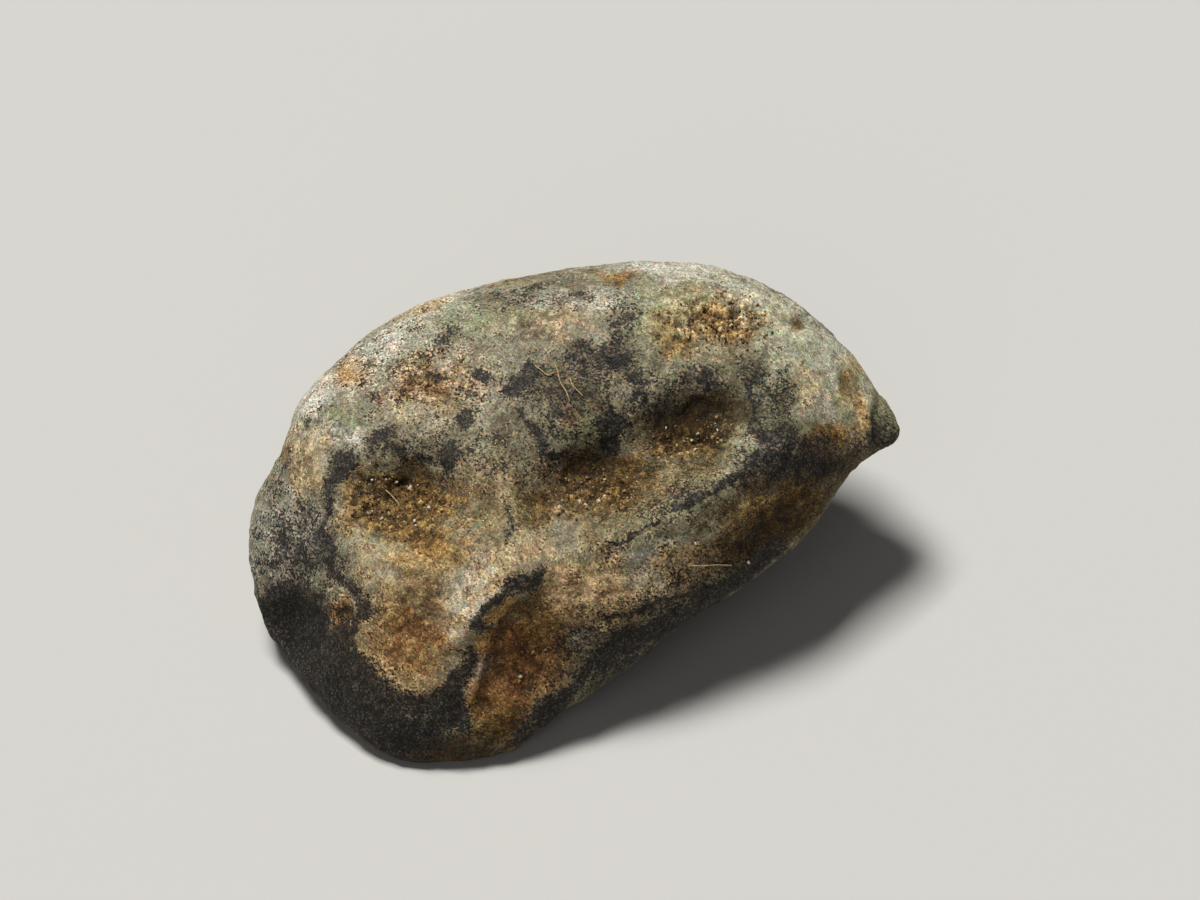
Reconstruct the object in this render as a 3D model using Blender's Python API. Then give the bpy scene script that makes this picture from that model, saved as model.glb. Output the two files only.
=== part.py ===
"""Saffordite nodule: one solid, a weathered obsidian pebble that lies on a small worn flat.

Millimetres in the numbers below, metres in the mesh.
"""

import math

import bmesh
import bpy
from mathutils import Matrix, Vector, noise

MM = 0.001

# The pebble is shaped in a frame of its own: u runs along the broad face, v up it, w out of it.
# That frame then leans back, so that the broad face looks forward and up.
LEAN = math.radians(45.0)
FRONT_ROLL = 3.4
BACK_ROLL = 2.3
LONG_AXIS = math.radians(20.0)
SLENDERNESS = 0.72
RINGS = 28
FLOOR_CUT = 5.9
FLOOR_BLEND = 0.25
LUMP_SIZE = 3.4
LUMP_HEIGHT = 0.16

# The rim, anticlockwise from the beak: u, v and how far forward it lies.
RIM = [
    (13.9, 3.4, -1.5),
    (13.7, 4.3, -1.8),
    (12.9, 5.3, -2.0),
    (12.1, 6.6, -2.4),
    (11.0, 7.7, -2.5),
    (9.6, 9.0, -2.9),
    (8.1, 9.9, -3.2),
    (6.2, 10.5, -3.4),
    (4.2, 10.8, -3.5),
    (1.1, 10.5, -3.4),
    (-2.4, 10.0, -3.2),
    (-4.9, 9.5, -3.0),
    (-7.1, 8.6, -2.6),
    (-9.2, 7.4, -2.1),
    (-11.0, 5.8, -1.5),
    (-12.0, 4.2, -1.0),
    (-12.7, 2.4, -0.7),
    (-13.5, 0.9, -0.4),
    (-13.9, -0.6, -0.5),
    (-14.1, -1.7, -0.7),
    (-13.8, -3.2, -0.8),
    (-13.4, -4.9, -0.7),
    (-12.4, -6.5, 0.0),
    (-11.3, -7.7, 0.8),
    (-9.9, -9.2, 1.7),
    (-7.6, -10.6, 2.2),
    (-5.8, -10.7, 2.3),
    (-3.2, -10.5, 2.1),
    (-2.1, -9.8, 2.0),
    (0.0, -8.2, 1.9),
    (2.8, -6.3, 1.7),
    (5.4, -4.4, 1.4),
    (7.5, -3.0, 1.0),
    (9.7, -1.3, 0.6),
    (10.9, 0.1, 0.2),
    (12.0, 1.8, -0.4),
    (12.8, 2.5, -0.9),
    (13.6, 3.0, -1.3),
]

# Each side is a dome (u, v and w of its top, and how much it falls off per mm squared) ...
FRONT_DOME = (-2.5, -2.6, 7.0, 0.022)
BACK_DOME = (0.4, 2.0, -8.8, -0.010)

# ... cut back to flats: a point (u, v, w) on each, its slope along u and v, and how softly it meets the rest.
FRONT_FLATS = {
    "top": (-0.6, 3.4, 4.2, 0.00, -0.48, 1.4),
    "flank": (5.4, -2.2, 5.1, -0.15, 0.10, 0.9),
    "beak_flank": (9.7, 0.9, 3.7, -0.50, 0.45, 1.0),
    "left_flank": (-11.8, -2.2, 3.2, 0.95, 0.20, 0.9),
    "foot": (-7.5, -8.6, 5.2, 0.10, 0.60, 1.0),
    "scar": (-1.5, -6.9, 4.7, -0.16, 0.26, 0.4),
}
BACK_FLATS = {
    "back": (2.5, 5.5, -8.3, 0.08, 0.10, 1.4),
    "back_left": (-9.5, 2.0, -6.0, -0.45, 0.10, 1.2),
    "back_right": (9.0, 3.6, -6.6, 0.40, -0.10, 1.2),
    "belly": (-2.0, -3.5, -6.0, 0.04, -0.80, 1.4),
    "right_belly": (6.5, -1.0, -6.0, 0.34, -0.60, 1.4),
}

# Hollows and swellings: centre (u, v), two half widths, turn in degrees, and depth (a swelling's is negative).
FRONT_MARKS = {
    "left_hollow": (-7.5, 0.8, 2.7, 1.8, 0, 1.35),
    "upper_hollow": (4.7, 3.7, 2.7, 1.5, 15, 1.35),
    "middle_hollow": (0.6, 1.4, 2.7, 1.55, 12, 1.30),
    "top_hollow": (6.0, 8.0, 2.6, 1.55, 0, 0.45),
    "shoulder_dip": (-6.2, 5.2, 2.6, 1.3, 0, 0.30),
    "foot_hollow": (-7.3, -4.7, 2.1, 2.4, -10, 0.65),
    "scar_hollow": (-1.3, -5.8, 1.7, 2.6, -35, 0.50),
    "crest": (-3.6, -3.6, 0.95, 2.6, -40, -0.45),
    "boss": (0.1, 4.9, 2.1, 1.5, 0, -0.40),
    "beak_pit": (11.7, 5.5, 0.7, 0.6, 0, 0.25),
}
BACK_MARKS = {
    "thumb_print": (3.6, 4.2, 3.4, 2.4, 20, 1.00),
    "back_dimple": (-4.6, 5.6, 2.2, 1.7, -15, 0.60),
    "side_dimple": (-9.6, -1.6, 1.6, 2.1, 10, 0.50),
    "under_beak": (9.2, 2.4, 1.9, 1.3, 25, 0.55),
    "back_crest": (-0.9, 5.0, 0.9, 2.8, 12, -0.40),
}


def rim_curve(points, steps=16):
    """A closed Catmull-Rom curve through the points, as (angle, radius, w) sorted by angle."""
    curve = []
    count = len(points)
    for i in range(count):
        a, b, c, d = (Vector(points[(i + k) % count]) for k in (-1, 0, 1, 2))
        for step in range(steps):
            t = step / steps
            spot = 0.5 * (
                2 * b
                + (c - a) * t
                + (2 * a - 5 * b + 4 * c - d) * t**2
                + (3 * b - a - 3 * c + d) * t**3
            )
            curve.append((math.atan2(spot.y, spot.x), math.hypot(spot.x, spot.y), spot.z))
    return sorted(curve)


def rim_at(curve, angle):
    """Radius and w of the rim in one direction."""
    low, high = 0, len(curve)
    while low < high:
        middle = (low + high) // 2
        if curve[middle][0] < angle:
            low = middle + 1
        else:
            high = middle
    before = curve[low - 1]
    after = curve[low % len(curve)]
    gap = (after[0] - before[0]) % math.tau
    t = ((angle - before[0]) % math.tau) / gap if gap else 0.0
    return before[1] + t * (after[1] - before[1]), before[2] + t * (after[2] - before[2])


def soft_min(a, b, blend):
    h = min(max(0.5 + 0.5 * (b - a) / blend, 0.0), 1.0)
    return b * (1 - h) + a * h - blend * h * (1 - h)


def side_height(u, v, dome, flats, side):
    """The dome of one side cut back to its flats; side is 1 in front and -1 behind."""
    w = dome[2] - dome[3] * ((u - dome[0]) ** 2 + (v - dome[1]) ** 2)
    for at_u, at_v, at_w, slope_u, slope_v, blend in flats.values():
        plane = at_w + slope_u * (u - at_u) + slope_v * (v - at_v)
        w = side * soft_min(side * w, side * plane, blend)
    return w


def marks_depth(u, v, marks):
    """How deep the hollows are at a point, with the swellings taken off."""
    depth = 0.0
    for at_u, at_v, half_a, half_b, turn, deep in marks.values():
        c, s = math.cos(math.radians(turn)), math.sin(math.radians(turn))
        along = ((u - at_u) * c + (v - at_v) * s) / half_a
        across = ((v - at_v) * c - (u - at_u) * s) / half_b
        depth += deep * math.exp(-1.2 * (along**2 + across**2))
    return depth


def surface_point(direction, curve):
    """Where a unit direction meets the pebble's skin, in its own frame."""
    c, s = math.cos(LONG_AXIS), math.sin(LONG_AXIS)
    along = direction.x * c + direction.y * s
    across = (direction.y * c - direction.x * s) * SLENDERNESS
    angle = math.atan2(across * c + along * s, along * c - across * s)
    radius, rim_w = rim_at(curve, angle)
    rho = min(math.hypot(direction.x, direction.y), 1.0)
    u, v = radius * rho * math.cos(angle), radius * rho * math.sin(angle)
    if direction.z >= 0:
        w = side_height(u, v, FRONT_DOME, FRONT_FLATS, 1) - marks_depth(u, v, FRONT_MARKS)
        roll = FRONT_ROLL
    else:
        w = side_height(u, v, BACK_DOME, BACK_FLATS, -1) + marks_depth(u, v, BACK_MARKS)
        roll = BACK_ROLL
    # rolled off to the rim, where both sides meet upright
    w = rim_w * rho + (w - rim_w * rho) * max(1 - rho**roll, 0.0) ** (1 / roll)
    return Vector((u, v, w))


def unit_cube_sphere():
    """A cube cut into a grid and blown out to a unit sphere of nearly even squares."""
    mesh = bmesh.new()
    bmesh.ops.create_cube(mesh, size=2.0)
    bmesh.ops.subdivide_edges(mesh, edges=mesh.edges[:], cuts=RINGS - 1, use_grid_fill=True)
    for vert in mesh.verts:
        vert.co = Vector([math.tan(x * math.pi / 4) for x in vert.co]).normalized()
    return mesh


def press_flat(z):
    """The floor takes off what would lie under it, with a small round at the edge of the flat."""
    if z <= -FLOOR_BLEND:
        return 0.0
    if z >= FLOOR_BLEND:
        return z
    return (z + FLOOR_BLEND) ** 2 / (4 * FLOOR_BLEND)


def stone_material():
    material = bpy.data.materials.new("weathered_obsidian")
    material.use_nodes = True
    shader = material.node_tree.nodes["Principled BSDF"]
    shader.inputs["Base Color"].default_value = (0.20, 0.17, 0.11, 1.0)
    shader.inputs["Roughness"].default_value = 0.85
    material.diffuse_color = (0.20, 0.17, 0.11, 1.0)
    return material


def build_stone():
    curve = rim_curve(RIM)
    mesh = unit_cube_sphere()
    lean = Matrix.Rotation(LEAN, 3, "X")
    for vert in mesh.verts:
        spot = surface_point(vert.co, curve)
        away = Vector((spot.x * 0.4, spot.y * 0.6, spot.z)).normalized()
        spot += away * LUMP_HEIGHT * noise.noise(spot / LUMP_SIZE + Vector((3.1, 7.7, 1.3)))
        spot = lean @ spot
        spot.z = press_flat(spot.z + FLOOR_CUT)
        vert.co = spot * MM
    bmesh.ops.triangulate(mesh, faces=mesh.faces[:], quad_method="SHORT_EDGE")
    low = [min(vert.co[axis] for vert in mesh.verts) for axis in range(3)]
    high = [max(vert.co[axis] for vert in mesh.verts) for axis in range(3)]
    centre = Vector(((low[0] + high[0]) / 2, (low[1] + high[1]) / 2, low[2]))
    bmesh.ops.translate(mesh, verts=mesh.verts[:], vec=-centre)
    bmesh.ops.recalc_face_normals(mesh, faces=mesh.faces[:])
    data = bpy.data.meshes.new("stone")
    mesh.to_mesh(data)
    mesh.free()
    data.shade_smooth()
    data.materials.append(stone_material())
    stone = bpy.data.objects.new("stone", data)
    bpy.context.scene.collection.objects.link(stone)
    return stone


for leftover in list(bpy.data.objects):
    bpy.data.objects.remove(leftover)
build_stone()
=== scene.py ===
import math
import random

import bpy
import numpy as np
from mathutils import Euler, Matrix, Vector, noise


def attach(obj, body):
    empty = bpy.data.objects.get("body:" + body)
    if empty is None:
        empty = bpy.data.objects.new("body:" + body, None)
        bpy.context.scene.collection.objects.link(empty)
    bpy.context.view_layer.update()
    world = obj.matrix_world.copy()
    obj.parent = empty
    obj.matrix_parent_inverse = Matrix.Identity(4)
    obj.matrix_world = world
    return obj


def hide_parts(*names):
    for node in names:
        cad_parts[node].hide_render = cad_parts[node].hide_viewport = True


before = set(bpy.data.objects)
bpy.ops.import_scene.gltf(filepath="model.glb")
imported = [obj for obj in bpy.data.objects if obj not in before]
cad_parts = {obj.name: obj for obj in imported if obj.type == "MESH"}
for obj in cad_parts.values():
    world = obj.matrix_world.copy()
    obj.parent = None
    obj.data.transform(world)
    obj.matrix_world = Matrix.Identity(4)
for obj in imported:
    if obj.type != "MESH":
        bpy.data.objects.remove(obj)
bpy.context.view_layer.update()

mm = 0.001

# The stone's broad face leans back 45 degrees. Marks are placed on it in mm, u to the right and v up the face,
# from this point.
faceOrigin = (0.13, -0.5441, 5.9)
lean = math.sqrt(0.5)


def pick(piece):
    bpy.ops.object.select_all(action="DESELECT")
    piece.select_set(True)
    bpy.context.view_layer.objects.active = piece


def finishWith(piece, kind, name, **settings):
    modifier = piece.modifiers.new(name, kind)
    for key, value in settings.items():
        setattr(modifier, key, value)
    pick(piece)
    bpy.ops.object.modifier_apply(modifier=name)


def weld(piece, gap):
    pick(piece)
    bpy.ops.object.mode_set(mode="EDIT")
    bpy.ops.mesh.select_all(action="SELECT")
    bpy.ops.mesh.remove_doubles(threshold=gap * mm)
    bpy.ops.mesh.normals_make_consistent(inside=False)
    bpy.ops.object.mode_set(mode="OBJECT")


def joinAs(name, pieces, host):
    bpy.ops.object.select_all(action="DESELECT")
    for piece in pieces:
        piece.select_set(True)
    bpy.context.view_layer.objects.active = host
    bpy.ops.object.join()
    joined = bpy.context.object
    joined.name = joined.data.name = name
    return joined


def coverWith(piece, material):
    piece.data.materials.clear()
    piece.data.materials.append(material)


def smoothStep(low, high, values):
    t = np.clip((values - low) / (high - low), 0, 1)
    return t * t * (3 - 2 * t)


def readSpots(piece):
    spots = np.empty(len(piece.data.vertices) * 3)
    piece.data.vertices.foreach_get("co", spots)
    return spots.reshape(-1, 3)


def readNormals(piece):
    normals = np.empty(len(piece.data.vertices) * 3)
    piece.data.vertex_normals.foreach_get("vector", normals)
    return normals.reshape(-1, 3)


def moveTo(piece, spots):
    piece.data.vertices.foreach_set("co", spots.ravel())
    piece.data.update()


# u, v and how far out of the face a point stands, in mm
def faceSpots(spots):
    x, y, z = (spots / mm - np.array(faceOrigin)).T
    return x, (y + z) * lean, (z - y) * lean


# 1 where the skin looks straight out of the broad face, -1 where it looks the other way
def facingOf(normals):
    return (normals[:, 2] - normals[:, 1]) * lean


# How far along one straight run each point lies, from 0 to 1, and how far from it
def besideRun(u, v, start, end):
    (u0, v0), (u1, v1) = start[:2], end[:2]
    du, dv = u1 - u0, v1 - v0
    t = np.clip(((u - u0) * du + (v - v0) * dv) / (du * du + dv * dv), 0, 1)
    return t, np.hypot(u - u0 - t * du, v - v0 - t * dv)


# Along and across a mark that is turned by so many degrees
def turnedFrom(u, v, atU, atV, turn):
    c, s = math.cos(math.radians(turn)), math.sin(math.radians(turn))
    return (u - atU) * c + (v - atV) * s, (v - atV) * c - (u - atU) * s


strokeEdge = 0.9  # mm over which a wide stroke fades


# A stroke is a run of u, v and half width in mm. It is 1 along its middle and 0.5 at its edge.
def strokeField(u, v, strokes):
    field = np.zeros(len(u))
    for spots in strokes.values():
        for start, end in zip(spots, spots[1:]):
            t, away = besideRun(u, v, start, end)
            half = start[2] + t * (end[2] - start[2])
            field = np.maximum(field, 0.5 + (half - away) / np.minimum(2 * half, strokeEdge))
    return np.clip(field, 0, 1)


patchFall = 0.69  # halves a patch at its edge


# A patch is u, v, two half widths in mm, a turn in degrees and a strength. It is half its strength at its edge.
def patchField(u, v, patches):
    field = np.zeros(len(u))
    for atU, atV, halfU, halfV, turn, strength in patches.values():
        along, across = turnedFrom(u, v, atU, atV, turn)
        away = (along / halfU) ** 2 + (across / halfV) ** 2
        field = np.maximum(field, strength * np.exp(-patchFall * away))
    return field


wallPower = 1.5  # a higher power makes steeper walls round a flatter floor


def hollowDepth(u, v, hollows):
    depth = np.zeros(len(u))
    for atU, atV, half, below, over, turn, deep in hollows.values():
        along, across = turnedFrom(u, v, atU, atV, turn)
        across = np.where(across < 0, across / below, across / over)
        depth += deep * np.exp(-(((along / half) ** 2 + across**2) ** wallPower))
    return depth


# In mm: the round of a ledge's lip, and the lengths over which it rises at its start and dies away at its end
ledgeShape = {"lip": 0.14, "start": 0.9, "end": 1.2}


def ledgeField(u, v, ledges):
    height = np.zeros(len(u))
    for spots, step, fade in ledges.values():
        nearest, side, place = np.full(len(u), np.inf), np.zeros(len(u)), np.zeros(len(u))
        walked = 0.0
        for (u0, v0), (u1, v1) in zip(spots, spots[1:]):
            du, dv = u1 - u0, v1 - v0
            t, away = besideRun(u, v, (u0, v0), (u1, v1))
            closer = away < nearest
            nearest = np.where(closer, away, nearest)
            side = np.where(closer, np.sign((u - u0) * dv - (v - v0) * du), side)
            place = np.where(closer, walked + t * math.hypot(du, dv), place)
            walked += math.hypot(du, dv)
        taper = smoothStep(0, ledgeShape["start"], place) * smoothStep(0, ledgeShape["end"], walked - place)
        height += 0.5 * step * side * np.tanh(nearest / ledgeShape["lip"]) * np.exp(-nearest / fade) * taper
    return height


def ridgeField(u, v, ridges):
    height = np.zeros(len(u))
    for spots, half in ridges.values():
        here = np.zeros(len(u))
        for start, end in zip(spots, spots[1:]):
            t, away = besideRun(u, v, start, end)
            here = np.maximum(here, (start[2] + t * (end[2] - start[2])) * np.exp(-away / half))
        height += here
    return height


def noiseField(spots, size, shift):
    return np.array([noise.noise(Vector(spot) / (size * mm) + Vector(shift)) for spot in spots])


def storeField(piece, name, values):
    attribute = piece.data.attributes.new(name, "FLOAT", "POINT")
    attribute.data.foreach_set("value", np.ascontiguousarray(values, np.float32))


weightSteps = 50  # a group is filled step by step, which is much faster than point by point


def storeWeights(piece, name, values):
    group = piece.vertex_groups.new(name=name)
    steps = np.round(np.clip(values, 0, 1) * weightSteps).astype(int)
    for step in range(1, weightSteps + 1):
        group.add(np.flatnonzero(steps == step).tolist(), step / weightSteps, "REPLACE")


# Relief on the broad face, in mm. A hollow is u, v, half width along, half width below and above, turn, depth;
# a swelling's depth is negative. A ledge drops to the right of its run of points, by a height that fades over a
# distance. A ridge is a run of u, v and height, and its half width. A pull is u, v, reach and how far it draws
# the stone along u and v.
relief = {
    "hollows": {
        "left": (-7.2, 0.6, 3.2, 2.3, 1.5, 0, 0.42),
        "middle": (0.8, 1.4, 2.7, 1.8, 1.4, 8, 0.38),
        "upper": (5.4, 3.3, 2.5, 1.7, 1.7, 10, 0.36),
        "trough": (2.9, 1.6, 5.2, 1.9, 1.8, 27, 0.22),
        "flankDent": (-12.2, -4.7, 1.6, 1.9, 1.0, 0, 0.60),
        "beakPit": (11.7, 5.7, 0.9, 0.4, 0.4, -62, 0.08),
        "rimPit": (9.6, 8.1, 0.42, 0.32, 0.32, -30, 0.12),
        "scoopPit": (-9.8, -4.4, 0.45, 0.35, 0.45, 0, 0.15),
        "nubNotch": (12.95, 3.8, 0.32, 1.2, 1.0, -8, 0.20),
    },
    "swellings": {
        "boss": (0.0, 4.6, 1.7, 1.5, 1.3, 0, -0.25),
        "crest": (-4.0, -3.5, 1.0, 2.2, 2.2, -40, -0.15),
        "nubLip": (12.5, 4.1, 0.3, 1.1, 0.9, -8, -0.12),
        "middleRidge": (-2.9, 0.2, 0.5, 1.5, 1.5, 0, -0.15),
        "peach": (0.2, -3.7, 1.8, 0.8, 1.4, -5, -0.22),
    },
    "ledges": {
        "scarTop": (
            [
                (-1.0, -2.9), (-1.6, -3.15), (-2.3, -3.5), (-3.0, -4.1), (-3.6, -4.8), (-3.75, -5.6),
                (-3.95, -6.6), (-4.2, -7.7), (-4.5, -8.9),
            ],
            0.3,
            0.8,
        ),
    },
    "ridges": {
        "troughLip": (
            [(1.2, -1.9, 0.0), (3.4, -0.5, 0.08), (5.4, 0.6, 0.16), (7.8, 2.3, 0.2), (9.6, 3.0, 0.1)],
            0.8,
        ),
        "scarEdge": (
            [(-2.2, -3.4, 0.0), (-3.4, -4.6, 0.08), (-3.7, -5.6, 0.12), (-4.1, -7.4, 0.12), (-4.5, -8.9, 0.0)],
            0.16,
        ),
    },
    "pulls": {
        "beakTip": (13.7, 3.4, 0.8, 0.26, -0.22),
        "underBeak": (12.6, 2.1, 0.8, 0.05, -0.12),
    },
}

# The thin lines and solid rims of dark varnish; along the under edge and in the band below the crest they are
# painted shade as well as varnish
varnishAndShadeStrokes = {
    "bossFoot": [(-2.2, 4.1, 0.19), (-1.8, 3.6, 0.19), (-1.4, 3.0, 0.22), (-1.2, 2.5, 0.22), (-0.5, 2.5, 0.17)],
    "leftDark": [
        (-13.0, -3.7, 0.60), (-12.5, -4.5, 1.03), (-12.2, -5.4, 1.20), (-11.6, -6.2, 1.03), (-11.0, -7.1, 0.77),
    ],
    "leftLow": [
        (-10.3, -6.7, 1.03), (-9.7, -7.7, 1.12), (-8.8, -8.7, 1.03), (-7.7, -9.1, 0.86), (-6.4, -9.1, 0.86),
        (-5.2, -8.7, 0.77),
    ],
    "leftMid": [(-11.1, -3.9, 0.60), (-10.9, -4.9, 0.69), (-10.2, -5.8, 0.60), (-9.2, -6.4, 0.52)],
    "scoopLeft": [
        (-9.8, -2.9, 0.26), (-9.2, -3.4, 0.30), (-9.0, -3.9, 0.26), (-9.0, -4.4, 0.13), (-9.3, -5.1, 0.34),
        (-10.0, -5.3, 0.26), (-9.3, -5.8, 0.26),
    ],
    "scoopFoot": [
        (-8.7, -6.8, 0.34), (-8.0, -7.5, 0.34), (-7.3, -8.1, 0.34), (-6.2, -8.3, 0.39), (-5.3, -7.7, 0.43),
        (-4.9, -7.0, 0.39),
    ],
    "hollowLoop": [
        (-10.0, 2.3, 0.30), (-9.9, 1.9, 0.34), (-10.2, 1.4, 0.38), (-10.4, 0.8, 0.42), (-10.5, 0.2, 0.32),
        (-10.7, -0.2, 0.13), (-10.8, -0.7, 0.13), (-10.5, -1.4, 0.34), (-10.2, -2.1, 0.43), (-10.1, -2.8, 0.34),
    ],
    # varnish, and painted shade under the step below the crest
    "lineBelowCrest": [
        (-1.4, -2.7, 0.24), (-1.9, -2.8, 0.38), (-2.4, -3.0, 0.42), (-2.9, -3.4, 0.40), (-3.3, -3.9, 0.36),
        (-3.7, -4.4, 0.33), (-4.1, -4.8, 0.26),
    ],
    "scarRidge": [
        (-4.2, -5.9, 0.26), (-4.5, -6.4, 0.36), (-4.8, -6.8, 0.39), (-5.0, -7.4, 0.47), (-5.1, -8.1, 0.60),
        (-4.9, -8.8, 0.60),
    ],
    # varnish, and painted shade along the under edge where it turns away from the light
    "underEdge": [
        (-2.4, -10.0, 0.34), (-1.5, -9.0, 0.34), (-0.7, -8.2, 0.43), (0.1, -7.4, 0.52), (0.9, -6.4, 0.60),
        (1.9, -5.8, 0.64), (3.1, -5.3, 0.64), (4.6, -4.6, 0.56), (6.0, -3.7, 0.47), (7.4, -2.7, 0.43),
        (8.8, -1.6, 0.34),
    ],
    "underTop": [(1.2, -4.5, 0.17), (2.0, -4.3, 0.26), (3.2, -4.0, 0.21), (4.7, -3.5, 0.21)],
    "troughLine": [(1.7, -1.7, 0.07), (2.4, -1.15, 0.10), (3.0, -0.7, 0.09), (3.4, -0.4, 0.07)],
    "troughBlotch": [
        (4.2, 0.1, 0.21), (4.7, 0.3, 0.34), (5.4, 0.6, 0.21), (5.9, 0.9, 0.13), (6.6, 1.4, 0.26),
        (7.1, 1.6, 0.21), (7.6, 1.9, 0.30),
    ],
    "rightBlack": [
        (7.9, 2.1, 0.52), (8.3, 2.5, 0.34), (9.0, 2.2, 0.43), (9.7, 2.8, 0.21), (10.3, 1.9, 0.30),
        (11.0, 1.7, 0.21),
    ],
    "rightArc": [(7.5, 5.4, 0.17), (7.6, 4.6, 0.21), (7.7, 3.7, 0.21), (8.0, 3.0, 0.26)],
    "upperPatch": [(5.5, 5.9, 0.30), (5.6, 5.2, 0.21), (6.1, 5.3, 0.26)],
    "shoulderDotsLow": [(-4.2, 5.8, 0.21), (-3.6, 5.6, 0.21)],
    "nub": [(12.9, 3.3, 0.13), (13.2, 2.9, 0.21)],
}
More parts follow.
